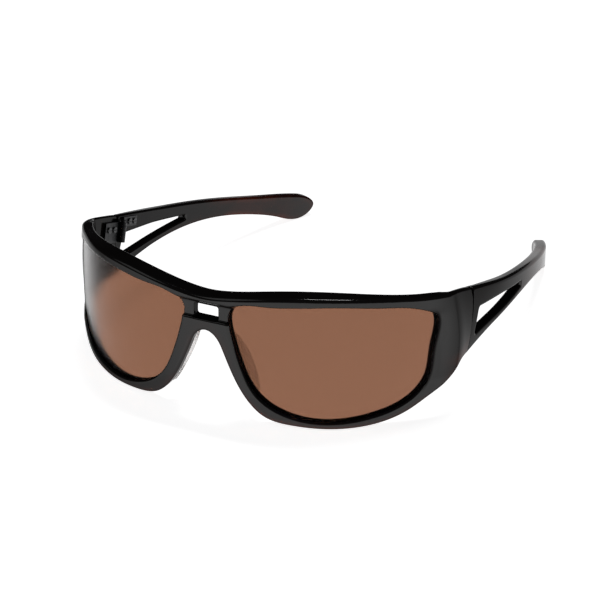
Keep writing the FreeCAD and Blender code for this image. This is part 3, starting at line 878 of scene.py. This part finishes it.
def tint(name, light, deep, scale):
    """A layer of tinted plastic, a little deeper towards the brow."""
    m = Finish(name)
    m.set(IOR=1.0, Transmission_Weight=1.0, Roughness=0.0)
    height = m.node("ShaderNodeSeparateXYZ", {0: m.place}).outputs[2]
    upper = m.mapped(height, 0.0, 0.045, 0.0, 1.0)
    blend = m.maths("MULTIPLY", upper, m.mapped(m.noise(scale, 2.0), 0.2, 0.8, 0.85, 1.0))
    m.connect("Base Color", m.mix(blend, light, deep))
    return m.material


def pad_rubber_material():
    """Smoky translucent silicone."""
    m = Finish("smoke_silicone")
    m.set(IOR=1.2, Transmission_Weight=0.8)
    clouds = m.noise(260.0, 4.0)
    m.connect("Base Color", m.mix(clouds, (0.90, 0.875, 0.865, 1), (0.96, 0.945, 0.935, 1)))
    m.connect("Roughness", m.mapped(m.noise(700.0, 3.0), 0.3, 0.7, 0.35, 0.5))
    m.bump(m.noise(1500.0, 3.0), 0.4, 0.00003)
    return m.material


def metal_material(name, dark, light, rough):
    """Black-coated steel with fine drawn lines."""
    m = Finish(name)
    m.set(Metallic=1.0)
    lines = m.noise(900.0, 3.0, 0.6, (1.0, 1.0, 0.08))
    spots = m.noise(350.0, 4.0)
    m.connect("Base Color", m.mix(spots, dark, light))
    m.connect("Roughness", m.mapped(lines, 0.3, 0.7, rough, rough + 0.14))
    m.bump(lines, 0.3, 0.00002)
    return m.material


nylon = nylon_material()
hard_coat = lens_hard_coat()
film_tint = tint("polarising_film", (0.72, 0.60, 0.52, 1), (0.70, 0.58, 0.50, 1), 40.0)
brown_tint = tint("copper_tint", (0.345, 0.197, 0.138, 1), (0.33, 0.187, 0.13, 1), 30.0)
pad_rubber = pad_rubber_material()
hinge_metal = metal_material("hinge_metal", (0.018, 0.018, 0.019, 1), (0.032, 0.032, 0.033, 1), 0.3)
screw_metal = metal_material("screw_metal", (0.035, 0.035, 0.036, 1), (0.06, 0.06, 0.061, 1), 0.25)

LENS_FINISH = {
    "lens_outer_layer": ("lens_hard_coat", hard_coat),
    "polarising_film": ("polarising_film", film_tint),
    "lens_inner_layer": ("lens_tint", brown_tint),
}


def finish_piece(piece, body, nodes, material):
    """Material, body and the CAD nodes it stands for, which are hidden."""
    piece.data.materials.clear()
    piece.data.materials.append(material)
    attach(piece, body)
    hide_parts(*nodes)


def dress_hinges():
    """The metal parts keep their CAD shapes and get their finishes."""
    for side in SIDES:
        for part in ("front_hinge_leaf", "temple_hinge_leaf"):
            dress(f"{side}_{part}", hinge_metal)
        for part in ("hinge_screw", "front_leaf_screws", "temple_leaf_screws"):
            dress(f"{side}_{part}", screw_metal)


def dress(node, material):
    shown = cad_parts[node]
    shown.data.materials.clear()
    shown.data.materials.append(material)


# ---------------------------------------------------------------- camera, floor, lights

CAMERA_AZIMUTH = math.radians(27.19)
CAMERA_ELEVATION = math.radians(24.59)
CAMERA_PLACE = Vector((0.29506, -0.59215, 0.30898))
SENSOR = 36.0
FOCAL = 125.8
NEAREST = 0.01
FARTHEST = 20
FLOOR_HALF = 5000
SKY = (0.03, 0.03, 0.033, 1)


def add_camera():
    """The photograph's viewing angle, with nothing out of focus."""
    data = bpy.data.cameras.new("camera")
    data.sensor_width = SENSOR
    data.lens = FOCAL
    data.clip_start = NEAREST
    data.clip_end = FARTHEST
    camera = bpy.data.objects.new("camera", data)
    back = Vector((
        math.sin(CAMERA_AZIMUTH) * math.cos(CAMERA_ELEVATION),
        -math.cos(CAMERA_AZIMUTH) * math.cos(CAMERA_ELEVATION),
        math.sin(CAMERA_ELEVATION),
    ))
    camera.location = CAMERA_PLACE
    camera.rotation_euler = back.to_track_quat("Z", "Y").to_euler()
    bpy.context.scene.collection.objects.link(camera)
    bpy.context.scene.camera = camera


def add_floor():
    """A plain pale studio floor that glows faintly, as a lit white sweep does."""
    half = FLOOR_HALF
    corners = [(-half, -half, 0), (half, -half, 0), (half, half, 0), (-half, half, 0)]
    floor = add_mesh("floor", corners, [(0, 1, 2, 3)])
    m = Finish("floor")
    m.set(Base_Color=(0.8, 0.8, 0.8, 1), Roughness=0.9, Specular_IOR_Level=0.1,
          Emission_Color=(1, 1, 1, 1), Emission_Strength=0.9)
    floor.data.materials.append(m.material)


def add_light(name, place, size, power):
    """A soft rectangular lamp that points at the object's place on the floor."""
    data = bpy.data.lights.new(name, "AREA")
    data.shape = "RECTANGLE"
    data.size, data.size_y = size
    data.energy = power
    lamp = bpy.data.objects.new(name, data)
    lamp.location = place
    lamp.rotation_euler = Vector(place).to_track_quat("Z", "Y").to_euler()
    bpy.context.scene.collection.objects.link(lamp)


def add_studio():
    world = bpy.data.worlds.new("studio")
    bpy.context.scene.world = world
    world.use_nodes = True
    sky = world.node_tree.nodes["Background"]
    sky.inputs["Color"].default_value = SKY
    add_light("key", place=(0.0, 0.25, 1.2), size=(0.5, 0.12), power=3.5)
    add_light("fill", place=(-0.9, -0.5, 1.0), size=(0.9, 0.6), power=1.0)
    bpy.context.scene.view_settings.view_transform = "Standard"


add_camera()
add_floor()
add_studio()
front = build_front()
finish_piece(front, "front", ["front_frame"], nylon)
build_temples()
build_lenses()
build_pads()
dress_hinges()
